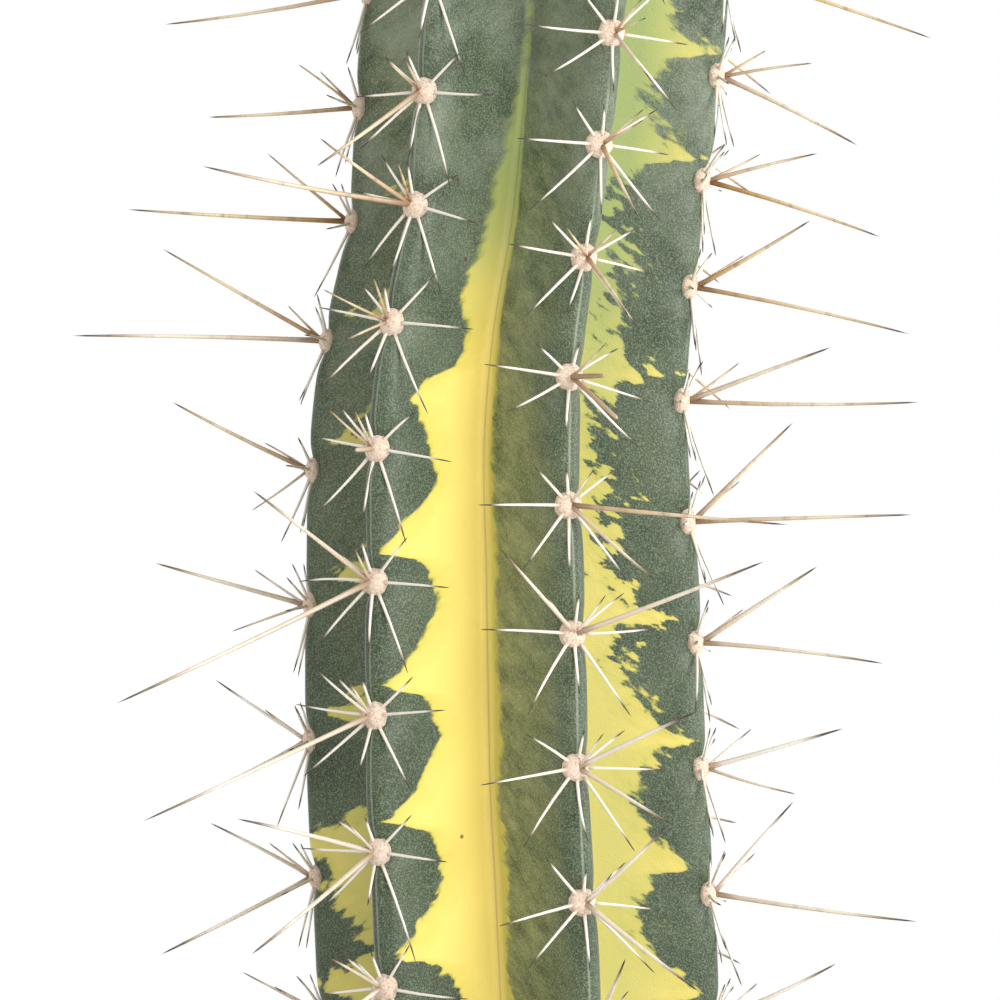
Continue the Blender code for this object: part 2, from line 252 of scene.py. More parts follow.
def new_piece(name, points, faces, finish, slot, replaced=(), **attributes):
    """A mesh object in place, smooth, riding on the one body, with its numbers as attributes."""
    mesh = bpy.data.meshes.new(name)
    mesh.from_pydata(points.tolist(), [], faces)
    mesh.shade_smooth()
    mesh.materials.append(finish)
    for key, values in attributes.items():
        layer = mesh.attributes.new(key, "FLOAT", "POINT")
        layer.data.foreach_set("value", np.ravel(values).astype(np.float32))
    piece = placed(name, mesh)
    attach(piece, "root")
    if replaced:
        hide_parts(*replaced)
    size = points.max(axis=0) - points.min(axis=0)
    print(f"{name}: {len(faces)} faces, {np.round(size / MM, 1)} mm")


def turns(count):
    """Equal turns round a circle, in radians."""
    return np.linspace(0, 2 * math.pi, count, endpoint=False)


def ripples(points, size, seed):
    """Smooth noise from -1 to 1: the mean of sine waves in seeded directions, each about size long,
    scaled up so that it fills the range."""
    chance = np.random.RandomState(seed)
    directions = chance.normal(size=(14, 3))
    directions *= chance.uniform(0.7, 1.5, (14, 1)) / np.linalg.norm(directions, axis=1, keepdims=True)
    phases = chance.uniform(0, 2 * math.pi, 14)
    waves = np.sin(points @ directions.T * (2 * math.pi / size) + phases)
    return np.clip(waves.mean(axis=-1) * 2.4, -1, 1)


# %% [markdown]
# ## The ribbed stem
# The stem grew as one piece with six ribs. It leans and bends a little, and its ribs turn slowly
# round it. Its outline is given by a few curves against the height above the soil, the same that
# the CAD uses. Between them each flank runs from the valley to a rounded crest.

# %% The stem's curves
GAP = 0.0003
RIBS = 6
FIRST_RIB_DEGREES = 21.0
TWIST_DEGREES_PER_METRE = 9.0
TWIST_CENTRE = 0.268
STEM_FOOT = -0.045
STEM_HEIGHT = 0.563
CREST_ROUNDING = 0.075
CREST_SHARPNESS = 12
CREST_RADIUS = (
    (-0.045, 0.03), (-0.015, 0.039), (0, 0.043), (0.03, 0.0468), (0.08, 0.049), (0.148, 0.0493),
    (0.209, 0.049), (0.25, 0.048), (0.285, 0.0461), (0.312, 0.0447), (0.338, 0.0433),
    (0.362, 0.0444), (0.388, 0.0446), (0.44, 0.0435), (0.49, 0.0405), (0.525, 0.0335),
    (0.548, 0.0225), (0.56, 0.011), (0.563, 0.006),
)
VALLEY_SHARE = (
    (-0.045, 0.95), (-0.02, 0.92), (0, 0.82), (0.04, 0.66), (0.09, 0.52), (0.148, 0.46),
    (0.268, 0.44), (0.388, 0.46), (0.48, 0.5), (0.53, 0.6), (0.563, 0.8),
)
LEAN = (
    (-0.045, 0), (0, 0), (0.08, 0.0018), (0.148, 0.0012), (0.2, -0.0016), (0.25, -0.0028),
    (0.282, -0.0035), (0.305, -0.0019), (0.335, 0.0028), (0.355, 0.005), (0.388, 0.0078),
    (0.45, 0.0105), (0.563, 0.0115),
)


def curve(points, at):
    """A smooth curve through the points: cubic pieces whose slopes come from the neighbours."""
    heights, values = np.array(points).T
    slopes = np.gradient(values, heights)
    i = np.clip(np.searchsorted(heights, at) - 1, 0, len(heights) - 2)
    span = heights[i + 1] - heights[i]
    t = np.clip((at - heights[i]) / span, 0, 1)
    ends = (2 * t**3 - 3 * t**2 + 1) * values[i] + (3 * t**2 - 2 * t**3) * values[i + 1]
    return ends + span * ((t**3 - 2 * t**2 + t) * slopes[i] + (t**3 - t**2) * slopes[i + 1])


def rib_directions(rib, height):
    """Out of a rib's crest, and across it towards the next rib, as level unit vectors."""
    twist = TWIST_DEGREES_PER_METRE * (height - TWIST_CENTRE)
    angle = np.radians(FIRST_RIB_DEGREES + rib * 360.0 / RIBS + twist)
    flat = np.zeros_like(angle)
    out = np.stack([np.sin(angle), -np.cos(angle), flat], axis=-1)
    side = np.stack([np.cos(angle), np.sin(angle), flat], axis=-1)
    return out, side


def stem_centre(height):
    """The leaning line that the outline is carried up."""
    return np.stack([curve(LEAN, height), np.zeros_like(height), SOIL_LEVEL + height], axis=-1)


print("stem is", round(2 * float(curve(CREST_RADIUS, 0.268)) / MM, 1), "mm across its crests")

# %% [markdown]
# The areoles sit on the crests about 30 mm apart, a little closer towards the tip. Each is a felt
# cushion that spines grow from, and the rib dips where one sits and swells between two.

# %% Where the areoles are
AREOLE_MIDDLE = (0.2668, 0.2627, 0.2550, 0.2400, 0.2421, 0.2487)
AREOLE_SPACING = (
    (0, 0.034), (0.15, 0.0318), (0.24, 0.0318), (0.28, 0.03), (0.32, 0.0272), (0.4, 0.0272),
    (0.563, 0.0235),
)
SPACING_SHARE = (0.98, 0.95, 0.98, 1.00, 1.05, 1.00)
AREOLE_LOWEST = 0.024
AREOLE_HIGHEST = 0.534


def areole_heights(rib):
    """Each areole's number and height, stepped off both ways from the rib's middle one."""
    heights = {0: AREOLE_MIDDLE[rib]}
    for way, last in ((-1, AREOLE_LOWEST), (1, AREOLE_HIGHEST)):
        number, height = way, AREOLE_MIDDLE[rib]
        while True:
            height += way * SPACING_SHARE[rib] * float(curve(AREOLE_SPACING, height))
            if way * (height - last) > 0:
                break
            heights[number] = height
            number += way
    numbers = sorted(heights)
    return np.array(numbers), np.array([heights[number] for number in numbers])


AREOLES = [areole_heights(rib) for rib in range(RIBS)]
print("areoles on each rib:", [len(numbers) for numbers, _ in AREOLES])


def areole_phase(rib, height):
    """How far up the row of areoles a height is: 0 at the middle areole, 1 at the next one up."""
    numbers, heights = AREOLES[rib]
    low = numbers[0] + (height - heights[0]) / (heights[1] - heights[0])
    high = numbers[-1] + (height - heights[-1]) / (heights[-1] - heights[-2])
    inside = np.interp(height, heights, numbers)
    return np.where(height < heights[0], low, np.where(height > heights[-1], high, inside))


# %% [markdown]
# ## Where the skin is yellow
# A variegated plant carries a stripe of cells without chlorophyll. Here the stripes fill the
# valleys and reach up the flanks in teeth, one for each areole: its tip lies just above the
# areole, it fades slowly upwards and ends sharply below. It could be painted by hand, but it
# follows the growth, so it is worked out: for each flank, how far from the valley to the crest
# the yellow reaches at each height. The skin's own noise then frays that edge.

# %% The yellow reach
# For each flank, curves of (millimetres above the soil, value), level beyond both ends: the reach
# between teeth, and the size of the teeth. Then how mottled its edge is, how far the yellow is
# washed with green, how far the green is lightened (olive and painted sheen), how much later than
# usual a tip comes (late), and how straight the fall above it is (full). The green is lightened by
# yellow cells under it, and on the right flank of rib 0 by a painted reflection: a pale grazing
# sheen painted into the colour.
RIGHT, LEFT = 1, -1
MAIN_FLANK = {
    "between": ((0, 0.1), (60, 0.22), (110, 0.3), (150, 0.38), (160, 0.47), (262, 0.47), (272, 0.46),
                (280, 0.55), (286, 0.64), (294, 0.67), (296.8, 0.58), (299.5, 0.36), (304, 0.28),
                (311, 0.32), (318, 0.4), (323, 0.38), (331, 0.27), (348, 0.21), (362, 0.14), (374, 0.05),
                (563, -0.05)),
    "teeth": ((0, 0.1), (110, 0.4), (150, 0.51), (265, 0.53), (280, 0.2), (295, 0.12), (306, 0)),
    "late": ((258, 0), (280, 0.18)),
    "full": ((262, 0.8), (275, 0)),
    "mottle": ((0, 0.3), (150, 0.25), (200, 0.14)),
    "wash": ((0, 0.1), (305, 0.05), (318, 0.35), (332, 0.75), (350, 0.95), (563, 1)),
}
CROSSING_FLANK = {
    "between": ((0, 0.06), (100, 0.12), (170, 0.17), (300, 0.14), (325, 0.04), (350, -0.04),
                (563, -0.15)),
    "mottle": ((180, 0.4), (210, 0.12), (563, 0.15)),
    "wash": ((300, 0.55), (335, 0.85), (360, 1)),
    "olive": ((0, 0.5), (120, 1), (330, 1), (400, 0.6), (563, 0.2)),
}
RIGHT_FLANK = {
    "between": ((0, 0.15), (100, 0.35), (148, 0.5), (165, 0.42), (180, 0.45), (205, 0.5), (228, 0.44),
                (245, 0.34), (262, 0.3), (290, 0.24), (305, 0.28), (318, 0.34), (326, 0.38), (336, 0.22),
                (345, 0.18), (355, 0.42), (375, 0.4), (388, 0.52), (440, 0.3), (563, 0.05)),
    "teeth": ((0, 0.2), (148, 0.45), (215, 0.5), (240, 0.46), (265, 0.1), (280, 0.4), (296, 0.6),
              (304, 0.6), (315, 0.1), (330, 0.1), (345, 0.66), (388, 0.55), (563, 0.2)),
    "mottle": ((0, 0.6), (190, 0.55), (215, 0.7), (235, 1.2), (340, 1.2), (355, 0.6), (563, 0.8)),
    "wash": ((0, 0.35), (150, 0.55), (200, 0.52), (250, 0.42), (290, 0.6), (320, 0.92), (360, 1)),
}
# The right flank of rib 0. Its olive above about 300 mm is a painted reflection: a pale grazing sheen
# painted into the colour.
FACING_FLANK = {
    "between": ((0, 0.15), (150, 0.1), (250, 0), (330, -0.1), (563, -0.2)),
    "mottle": ((0, 0.4), (563, 0.2)),
    "wash": ((0, 0.2), (300, 0.6), (563, 0.9)),
    "olive": ((0, 0), (250, 0.2), (320, 0.9), (400, 0.9), (563, 0.3)),
}
FAR_LEFT_FLANK = {
    "between": ((0, 0.2), (100, 0.5), (150, 0.7), (158, 0.4), (170, 0.85), (186, 0.7), (195, 0.3),
                (260, 0.2), (300, 0.25), (400, 0.15), (563, 0)),
    "teeth": ((0, 0.2), (150, 0.4), (200, 0.6), (300, 0.55), (340, 0.45), (355, 0.1), (563, 0)),
    "mottle": ((0, 0.8),),
    "wash": ((0, 0.3), (120, 0.75), (200, 0.75), (563, 0.85)),
    "olive": ((210, 0), (270, 0.35), (340, 0.45), (365, 0.95), (400, 0.95), (563, 0.3)),
}
FLANKS = {(5, RIGHT): MAIN_FLANK, (0, LEFT): CROSSING_FLANK, (0, RIGHT): FACING_FLANK,
          (1, LEFT): RIGHT_FLANK, (4, RIGHT): FAR_LEFT_FLANK}


def other_flank(rib, hand):
    """A flank like its neighbours, with its own seeded swing between broad and narrow stretches."""
    chance = np.random.RandomState(40 + 2 * rib + hand)
    knots = np.linspace(0, 563, 9)
    fade = np.interp(knots, (0, 80, 380, 563), (0.5, 1.0, 0.8, 0.1))
    return {
        "between": tuple(zip(knots, fade * chance.uniform(-0.05, 0.45, 9))),
        "teeth": tuple(zip(knots, fade * chance.uniform(0.05, 0.55, 9))),
        "mottle": ((0, 0.8),),
        "wash": ((0, 0.2), (300, 0.3), (563, 0.85)),
    }


def tooth(phase, full):
    """0 to 1: almost level from just above an areole to the tip, then a slow fall, hollow on most
    flanks and straight where full is 1."""
    hollow = np.interp(phase % 1.0, (0.0, 0.13, 0.165, 0.20, 0.30, 0.45, 0.60, 0.75, 1.0),
                       (0.12, 0.28, 0.34, 1.00, 0.62, 0.30, 0.10, 0.00, 0.12))
    straight = np.interp(phase % 1.0, (0.0, 0.13, 0.165, 0.20, 0.27, 0.36, 0.51, 0.66, 0.82, 1.0),
                         (0.12, 0.24, 0.40, 1.00, 0.90, 0.74, 0.48, 0.24, 0.04, 0.12))
    return hollow + full * (straight - hollow)


def flank_numbers(rib, hand, height):
    """The yellow reach, mottle, wash and olive of one flank at each height; on the right flank of rib 0
    the olive high up is a painted sheen. Each tip sits a little higher or lower than the last."""
    flank = FLANKS.get((rib, hand)) or other_flank(rib, hand)
    between, teeth, mottle, wash, olive, late, full = (
        np.interp(height / MM, *np.transpose(flank.get(key, ((0, 0),))))
        for key in ("between", "teeth", "mottle", "wash", "olive", "late", "full"))
    reach = between + teeth * tooth(areole_phase(rib, height) - late, full)
    return reach, mottle, wash, olive


# %% [markdown]
# ## The skin's surface
# One grid covers the stem. Its columns gather at the crests, where the surface turns fastest, and
# its rows are about 1.3 mm apart. The dip at each areole, the swelling between and a slow
# unevenness are added along the surface's own normal.

# %% The stem's surface
FLANK_STEPS = 16
ROWS_ABOVE_SOIL = 420
ROWS_IN_SOIL = 10
DIP = 0.0011
DIP_HALF_LENGTH = 0.0045
SWELL = 0.0006
UNEVEN = 0.0004


def stem_outline(height, rib, across):
    """Points of the plain ribbed surface. Across runs from -1 at one valley over 0 at the crest to 1
    at the next valley. The flank parameter is cos(90 degrees x across): 0 in the valley, 1 on the
    crest. The reach out of the axis grows with it in a straight line, and the half thickness
    shrinks with it and closes round the crest."""
    crest = curve(CREST_RADIUS, height)
    valley = crest * curve(VALLEY_SHARE, height)
    up_flank = np.cos(math.pi / 2 * across)
    reach = valley * math.cos(math.pi / RIBS)
    reach = reach + (crest - reach) * up_flank
    half = valley * math.sin(math.pi / RIBS) * (1 - up_flank) + CREST_ROUNDING * crest * up_flank
    half = half * np.sqrt(np.clip(1 - up_flank**CREST_SHARPNESS, 0, 1)) * np.sign(across)
    out, side = rib_directions(rib, height)
    return stem_centre(height) + out * reach[..., None] + side * half[..., None]


def outward_normals(grid):
    """Unit normals of a grid of rings: the way round crossed with the way up."""
    around = np.roll(grid, -1, axis=1) - np.roll(grid, 1, axis=1)
    upwards = np.gradient(grid, axis=0)
    normal = np.cross(around, upwards)
    return normal / np.linalg.norm(normal, axis=-1, keepdims=True)


across_one_rib = np.linspace(-1, 1, 2 * FLANK_STEPS, endpoint=False)
rows = np.concatenate([np.linspace(STEM_FOOT, 0, ROWS_IN_SOIL, endpoint=False),
                       np.linspace(0, STEM_HEIGHT, ROWS_ABOVE_SOIL)])
height, rib_number, across = np.meshgrid(rows, np.arange(RIBS), across_one_rib, indexing="ij")
shape = (len(rows), RIBS * 2 * FLANK_STEPS)
height, rib_number, across = (part.reshape(shape) for part in (height, rib_number, across))
stem_grid = stem_outline(height, rib_number, across)
up_flank = np.cos(math.pi / 2 * across)

from_areole = np.zeros(shape)
pattern = np.zeros((4, *shape))
for rib in range(RIBS):
    phase = areole_phase(rib, rows)
    spacing = curve(AREOLE_SPACING, rows)
    away = np.abs(phase - np.round(phase)) * spacing
    mine = slice(rib * 2 * FLANK_STEPS, (rib + 1) * 2 * FLANK_STEPS)
    from_areole[:, mine] = away[:, None]
    for hand in (LEFT, RIGHT):
        flank = mine.start + np.flatnonzero(np.where(across_one_rib < 0, LEFT, RIGHT) == hand)
        pattern[:, :, flank] = np.stack(flank_numbers(rib, hand, rows))[..., None]
# Each valley's column belongs to two flanks: it takes the one that is more yellow.
valley_columns = np.arange(RIBS) * 2 * FLANK_STEPS
before = (valley_columns - 1) % shape[1]
more = pattern[0][:, before] > pattern[0][:, valley_columns]
pattern[:, :, valley_columns] = np.where(more, pattern[:, :, before], pattern[:, :, valley_columns])
reach, mottle, wash, olive = pattern

on_crest = np.clip((up_flank - 0.62) / 0.38, 0, 1) ** 2
above_soil = np.clip(height / 0.03, 0, 1) * np.clip((0.55 - height) / 0.03, 0, 1)
dip = np.exp(-((from_areole / DIP_HALF_LENGTH) ** 2))
relief = on_crest * above_soil * (SWELL - (SWELL + DIP) * dip)
relief += above_soil * UNEVEN * ripples(stem_grid, 0.045, 5) * (1 - 0.5 * on_crest)
stem_grid += relief[..., None] * outward_normals(stem_grid)
print("stem grid", shape, "dips", round(DIP / MM, 1), "mm at the areoles")

# %% [markdown]
# ## The skin's finish
# The skin is a living epidermis under a thin coat of wax: matte, with fine pale grains of wax and
# a bloom that lies unevenly. It gives the eye a soft broad sheen and no sharp highlight. Green
# turns to yellow over less than a millimetre, through olive. Noise on object coordinates makes
# the grain, and the flank's own numbers, carried on the mesh, make the pattern.

# %% Waxy epidermis
skin, tree = new_finish(
    "waxy_variegated_epidermis", Roughness=0.46, IOR=1.45, Specular_IOR_Level=0.45, Sheen_Weight=0.50,
    Sheen_Roughness=0.30)
place = object_place(tree)
flank_place = carried(tree, "up_flank")
height_here = node(tree, "ShaderNodeSeparateXYZ", {"Vector": place}).outputs["Z"]

# The edge: the reach in millimetres beyond this point, pushed about by noise of 7 mm and 1 mm, and
# of 3 mm where the flank is mottled. The mottles run down towards the crest.
mottled = carried(tree, "mottle")
slope = node(tree, "ShaderNodeCombineXYZ", {"Z": sums(tree, "MULTIPLY", flank_place, 15.6 * MM)})
slanted = node(tree, "ShaderNodeVectorMath", {0: place, 1: slope.outputs[0]}, operation="ADD")
drawn_out = stretched(tree, slanted.outputs[0], (0.55, 0.55, 1.0))
edge_mm = carried(tree, "yellow_mm")
for where, size, detail, roughness, push in (
        (place, 7.0 * MM, 2.0, 0.5, 4.0),
        (drawn_out, 3.0 * MM, 3.0, 0.52, sums(tree, "MULTIPLY", mottled, 34.0)),
        (drawn_out, 1.1 * MM, 1.0, 0.5, sums(tree, "MULTIPLY_ADD", mottled, 3.5, 0.5))):
    either_way = sums(tree, "SUBTRACT", noise(tree, where, size, detail, roughness), 0.5)
    edge_mm = sums(tree, "MULTIPLY_ADD", either_way, push, edge_mm)

# Green: darker and bluer by blotches, and lighter and more olive where yellow cells lie under it.
# On the right flank of rib 0 that lighter green is a painted reflection, a pale grazing sheen.
# The crest is rubbed clean of wax, and its green is deeper.
blotches = noise(tree, place, 14 * MM, 4.0)
plain_green = ramp(tree, blotches, (0.30, "2e3a26"), (0.50, "394630"), (0.70, "455037"))
streaks = noise(tree, drawn_out, 5 * MM, 5.0, 0.7)
olive_green = ramp(tree, streaks, (0.34, "3f4b33"), (0.47, "636d49"), (0.66, "878c64"))
less_at_crest = remap(tree, flank_place, 0.35, 0.95, 1.0, 0.45)
# Olive and painted reflection: this share also paints the pale grazing sheen on the right flank of rib 0.
olive_share = sums(tree, "MULTIPLY", carried(tree, "olive"), less_at_crest)
green = mix(tree, olive_share, plain_green, olive_green)
green = mix(tree, remap(tree, flank_place, 0.86, 0.985, 0.0, 0.55, "SMOOTHSTEP"), green, "2f3d27")

# Yellow: green shines through it for the first millimetre, and it is palest at the valley. Where it
# is washed with green, its edge is softer too.
yellow = ramp(tree, remap(tree, edge_mm, -1.0, 9.0), (0.00, "9c9a48"), (0.12, "cdc052"),
              (0.26, "e9d264"), (1.00, "fadf75"))
washed = carried(tree, "wash")
wash_share = sums(tree, "MULTIPLY", washed, remap(tree, flank_place, 0.30, 0.75, 1.0, 0.55))
yellow = mix(tree, wash_share, yellow, "96a562")
softness = sums(tree, "MULTIPLY_ADD", washed, 1.8, 0.60)
is_yellow = remap(tree, edge_mm, sums(tree, "MULTIPLY", softness, -0.8), softness, 0.0, 1.0, "SMOOTHSTEP")
colour = mix(tree, is_yellow, green, yellow)

# Wax: grains about 0.4 mm across, as fine as the view can show, and a cloudy bloom that is
# thicker higher up: partly real wax on the young skin, partly painted light that lightens the
# upper flanks where they lie in shade. Both show less on yellow.
shows = remap(tree, is_yellow, 0.0, 1.0, 1.0, 0.10)
grain = noise(tree, place, 0.36 * MM, 0.0)
grain_share = sums(tree, "MULTIPLY", remap(tree, grain, 0.42, 0.72, 0.0, 0.85), shows)
bloom = remap(tree, noise(tree, place, 22 * MM, 5.0, 0.65), 0.42, 0.75, 0.0, 0.36)
# Painted light with real wax: the bloom grows up the stem and lightens the shaded upper skin.
upper_bloom_and_painted_light = remap(tree, height_here, SOIL_LEVEL + 0.290, SOIL_LEVEL + 0.375, 0.30, 1.65)
bloom_and_painted_light_share = sums(tree, "MULTIPLY", sums(tree, "MULTIPLY", bloom, upper_bloom_and_painted_light), shows)
colour = mix(tree, grain_share, colour, "616b59", "ADD")
colour = mix(tree, bloom_and_painted_light_share, colour, "a3ad98")

# The crease in each valley gets a fine dark line, painted shade, and the crest a finer pale one,
# a painted highlight. There are also a few small brown scars.
colour = mix(tree, remap(tree, flank_place, 0.002, 0.016, 0.30, 0.0, "SMOOTHSTEP"), colour, "6b6a3c")
# Painted highlight: a pale line along each crest.
colour = mix(tree, remap(tree, flank_place, 0.9980, 0.9995, 0.0, 0.40), colour, "a9b39c")
cells = node(tree, "ShaderNodeTexVoronoi", {"Vector": place, "Scale": 1 / (11 * MM)})
cell_number = node(tree, "ShaderNodeSeparateColor", {"Color": cells.outputs["Color"]}).outputs["Red"]
near_middle = remap(tree, cells.outputs["Distance"], 0.035, 0.060, 0.8, 0.0)
scar = sums(tree, "MULTIPLY", near_middle, sums(tree, "GREATER_THAN", cell_number, 0.72))
colour = mix(tree, scar, colour, "5a3d2b")
show(tree, colour, bump(tree, grain, 0.35, 0.15 * MM))

flank_mm = np.linalg.norm(stem_grid[:, :1] - stem_grid[:, FLANK_STEPS:FLANK_STEPS + 1], axis=-1) / MM
yellow_mm = (reach - up_flank) * flank_mm
points, faces = closed_rings(stem_grid[None], np.array([[0, 0, stem_grid[0, 0, 2]]]),
                             stem_grid[-1:].mean(axis=1) + [[0, 0, 0.0008]])


def with_poles(values):
    """A grid's numbers as one row, with the first and last repeated for the two poles."""
    return np.concatenate([values[0, :1], values.ravel(), values[-1, -1:]])


new_piece("stem_skin", points, faces, skin, "skin", ("stem",),
          yellow_mm=with_poles(yellow_mm), up_flank=with_poles(up_flank),
          mottle=with_poles(mottle), wash=with_poles(wash), olive=with_poles(olive))

# %% [markdown]
# ## Spines
# Each areole carries eight short radial spines that lie close to the skin, ivory with a dark tip,
# and two or three central spines. The upper central points up and out, and the lower one is the
# longest and stands nearly straight out. Some have bent or broken. A spine is a slender cone with
# a slight bend, of a few rings only, because there are about a thousand.

# %% The spines' places
# Clock in degrees seen from outside with 0 up, lift in degrees off the skin, millimetres; then how
# far each may differ, in degrees, degrees and as a share.
CENTRAL_SPINES = ((172, 74, 50), (-8, 58, 33), (22, 50, 14))
RADIAL_SPINES = ((-6, 24, 10), (-50, 13, 14), (48, 13, 14), (-92, 10, 20), (94, 10, 18), (-145, 10, 19),
                 (147, 10, 23), (-177, 11, 16))
SPREADS = (9.0, 5.0, 0.14)
# Two ribs have radials that leave that habit: (rib, spine) to degrees clockwise, degrees flatter
# and times as long.
RADIAL_CHANGES = {(0, 3): (0, 0, 1.22), (0, 4): (0, 0, 1.12), (0, 5): (13, 0, 1.15), (0, 6): (-7, 0, 1.05),
                  (5, 2): (0, 12, 1.10), (5, 4): (0, 15, 1.22), (5, 5): (9, 0, 1.12), (5, 6): (0, 14, 1.05)}
CENTRALS_LOST_BELOW = 0.045
# Central spines that have bent or broken away from that habit. For each rib: the first areole, then
# the clock, lift and millimetres of two spines on that areole and on each one above it.
SET_CENTRALS = {
    0: (-3, (144, 49, 38, 39, 46, 31), (133, 47, 30, 53, 50, 34), (66, 44, 51, -49, 20, 30),
        (103, 45, 51, 149, 39, 30), (159, 61, 22, -140, 87, 20), (167, 59, 30, -66, 45, 16),
        (176, 55, 28, 39, 53, 14), (168, 58, 24, 47, 66, 12)),
    1: (-4, (-160, 78, 46, -15, 68, 32), (-145, 76, 50, -11, 43, 32), (-145, 65, 23, -29, 75, 35),
        (-125, 81, 45, -9, 59, 36), (-107, 79, 54, -14, 50, 35), (-111, 82, 57, -29, 67, 37),
        (-116, 79, 54, -24, 56, 34), (-135, 80, 47, -30, 64, 29), (-164, 70, 36, -46, 70, 24)),
    4: (-3, (150, 60, 40, 30, 55, 22), (128, 53, 43, 16, 55, 29), (130, 47, 26, 25, 53, 27),
        (165, 70, 20, 42, 70, 40), (146, 41, 18, 45, 60, 38), (107, 64, 63, 46, 62, 44),
        (106, 66, 54, 42, 49, 26), (118, 67, 39, 30, 50, 18)),
    5: (-3, (175, 70, 30, 22, 63, 25), (-161, 57, 43, -45, 63, 37), (-137, 60, 59, -3, 61, 24),
        (-138, 55, 69, -21, 55, 40), (170, 80, 7, -25, 58, 18), (164, 66, 20, -60, 71, 19),
        (-94, 65, 54, -40, 62, 31), (-165, 51, 34, -20, 60, 12)),
}


def unit(vectors):
    """Vectors of length 1."""
    return vectors / np.linalg.norm(vectors, axis=-1, keepdims=True)


def crest_frames(rib, heights):
    """For each height: the crest point, and unit vectors up the crest, out of it and across it."""
    def crest(h):
        return stem_centre(h) + rib_directions(rib, h)[0] * curve(CREST_RADIUS, h)[..., None]

    step = 0.002
    up = unit(crest(heights + step) - crest(heights - step))
    out = rib_directions(rib, heights)[0]
    out = unit(out - up * (out * up).sum(axis=-1, keepdims=True))
    return crest(heights), up, out, np.cross(up, out)


def spine_ways(up, out, sideways, clock, lift):
    """Each spine's direction: round the clock with 0 up the crest, and lifted off the skin."""
    flat = up * np.cos(clock)[..., None] + sideways * np.sin(clock)[..., None]
    return flat * np.cos(lift)[..., None] + out * np.sin(lift)[..., None]


def rib_spines(rib):
    """Clock and lift in radians and length in metres of each spine, as (areole, spine) arrays. The
    centrals come first. A length of 0 is a spine that the areole has lost."""
    numbers, heights = AREOLES[rib]
    habit = np.array(CENTRAL_SPINES + RADIAL_SPINES, float)
    spread = np.random.RandomState(100 + rib).uniform(-1, 1, (len(numbers), len(habit), 3))
    clock = habit[:, 0] + spread[..., 0] * SPREADS[0]
    lift = habit[:, 1] + spread[..., 1] * SPREADS[1]
    length = habit[:, 2] * (1 + spread[..., 2] * SPREADS[2])
    for (changed_rib, spine), (turned, flatter, longer) in RADIAL_CHANGES.items():
        if changed_rib == rib:
            column = len(CENTRAL_SPINES) + spine
            clock[:, column] += turned
            lift[:, column] -= flatter
            length[:, column] *= longer
    first, *spines = SET_CENTRALS.get(rib, (0,))
    for row, pair in enumerate(spines, first - numbers[0]):
        clock[row, :2], lift[row, :2], length[row, :2] = np.reshape(pair, (2, 3)).T
    length[heights < CENTRALS_LOST_BELOW, :len(CENTRAL_SPINES)] = 0
    return np.radians(clock), np.radians(lift), length * MM


# %% [markdown]
# A spine's surface is dead, hard tissue, like horn. The radials are ivory white and the centrals
# tan, with brown bands where growth slowed. All end in a dark, almost black tip. The colour runs
# along the spine, so each vertex knows how far along it is, its millimetres and its shade.

# %% Horny spine finish
spine_finish, tree = new_finish("horny_ivory_and_tan_spine", Roughness=0.42, IOR=1.54)
along = carried(tree, "along")
ivory = ramp(tree, along, (0.00, "c9b195"), (0.10, "e9dfd0"), (0.68, "f1ebe1"), (0.78, "b3a696"),
             (0.85, "3b3532"), (1.00, "1f1b1a"))
horn = ramp(tree, along, (0.00, "8a6238"), (0.20, "b98f58"), (0.60, "dcc79c"), (0.87, "b0946c"),
            (0.94, "41352e"), (1.00, "231d1b"))
band_place = node(tree, "ShaderNodeCombineXYZ", {
    "X": carried(tree, "band_mm"), "Y": carried(tree, "own_number")})
bands = noise(tree, band_place.outputs[0], 1 / 0.34, 3.0, 0.6)
horn = mix(tree, remap(tree, bands, 0.52, 0.68, 0.0, 0.6), horn, "7c5233")
show(tree, mix(tree, carried(tree, "tan"), ivory, horn))

# %% Slender cones
SPINE_SIDES = 6
SPINE_RINGS = np.array([0.0, 0.12, 0.36, 0.62, 0.84, 0.95])
CENTRAL_RADIUS = 0.00066
RADIAL_RADIUS = 0.00042
TAPER = 0.40
BLUNT = 0.10
BEND = 0.035
CENTRAL_RISE = 0.0004
RADIAL_RISE = -0.0007
CENTRAL_START = 0.0006
RADIAL_START = 0.0022
# Central spines that have snapped off: (rib, areole, spine).
BROKEN = ((0, 1, 0), (0, 1, 1), (5, 1, 0))


